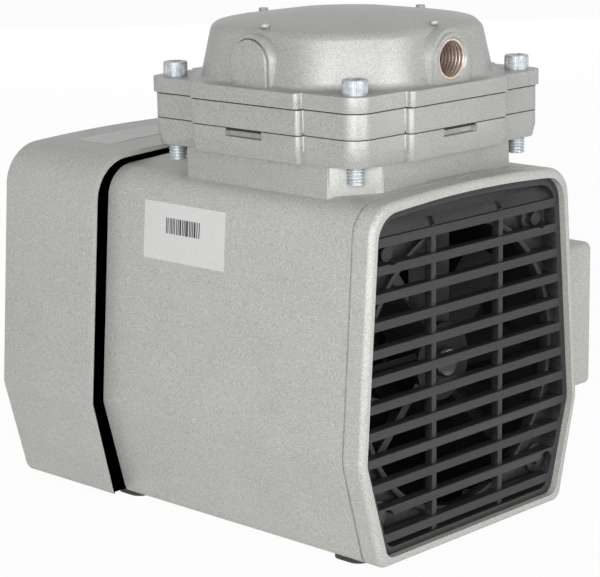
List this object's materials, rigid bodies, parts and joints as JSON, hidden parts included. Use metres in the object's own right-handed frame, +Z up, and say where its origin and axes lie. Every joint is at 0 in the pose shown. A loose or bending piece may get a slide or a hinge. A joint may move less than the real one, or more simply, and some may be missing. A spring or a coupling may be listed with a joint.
{
  "type": "diaphragm vacuum pump",
  "caption": "Box-shaped motor housing with louvred fan grille and rear shroud, carrying a square ported diaphragm head; the crank turns and strokes the diaphragm to draw or push air",
  "frame": {"origin": "middle of the four foot holes, on the plane the pump stands on", "axes": "+Z up, +X along the motor shaft toward the louvred grille, +Y toward the capacitor box"},
  "size_m": [0.1706, 0.1444, 0.1715],
  "materials": {
    "silver_paint": "satin speckled silver paint",
    "cast_aluminium": "as cast, lightly blasted",
    "black_plastic": "moulded black",
    "zinc_steel": "zinc plated",
    "ground_steel": "ground",
    "foot_steel": "dark coated steel strip",
    "elastomer": "moulded rubber",
    "lamination": "stacked steel sheet",
    "copper_wire": "varnished copper wire",
    "capacitor_case": "moulded black case"
  },
  "bodies": {
    "housing": {"motor_housing": "silver_paint", "rear_shroud": "silver_paint", "rear_bracket": "cast_aluminium", "front_bracket": "cast_aluminium", "front_grille": "black_plastic", "front_foot": "foot_steel", "rear_foot": "foot_steel", "foot_screws": "zinc_steel", "shroud_screws": "zinc_steel", "grille_screws": "zinc_steel", "bracket_screws": "zinc_steel", "head_base": "cast_aluminium", "diaphragm": "elastomer", "valve_plate": "cast_aluminium", "head_gasket": "elastomer", "head_cover": "cast_aluminium", "head_screws": "zinc_steel", "inlet_reed": "ground_steel", "outlet_reed": "ground_steel", "inlet_reed_clamp": "ground_steel", "outlet_reed_clamp": "ground_steel", "reed_screws": "zinc_steel", "stator_core": "lamination", "windings": "copper_wire", "front_bearing": "ground_steel", "rear_bearing": "ground_steel", "capacitor_box": "silver_paint", "capacitor_cover": "silver_paint", "box_screws": "zinc_steel", "run_capacitor": "capacitor_case"},
    "shaft": {"motor_shaft": "ground_steel", "rotor_core": "lamination", "rotor_end_rings": "cast_aluminium", "eccentric": "ground_steel", "counterweight": "ground_steel", "set_screw": "zinc_steel", "shaft_collar": "ground_steel", "front_fan": "black_plastic", "rear_fan": "black_plastic"},
    "rod": {"connecting_rod": "cast_aluminium", "rod_bearing": "ground_steel", "lower_clamp_plate": "ground_steel", "upper_clamp_plate": "ground_steel", "clamp_screw": "zinc_steel"}
  },
  "joints": [
    {"name": "shaft_spin", "type": "hinge", "parent": "housing", "child": "shaft", "pos_m": [0, 0, 0.058], "axis": [1, 0, 0], "continuous": true, "deforming": ["diaphragm"]},
    {"name": "rod_follow", "type": "hinge", "parent": "shaft", "child": "rod", "pos_m": [0.0145, 0, 0.061], "axis": [1, 0, 0], "continuous": true}
  ],
  "couplings": [
    {"joint": "rod_follow", "follows": "shaft_spin", "ratio": -1}
  ]
}
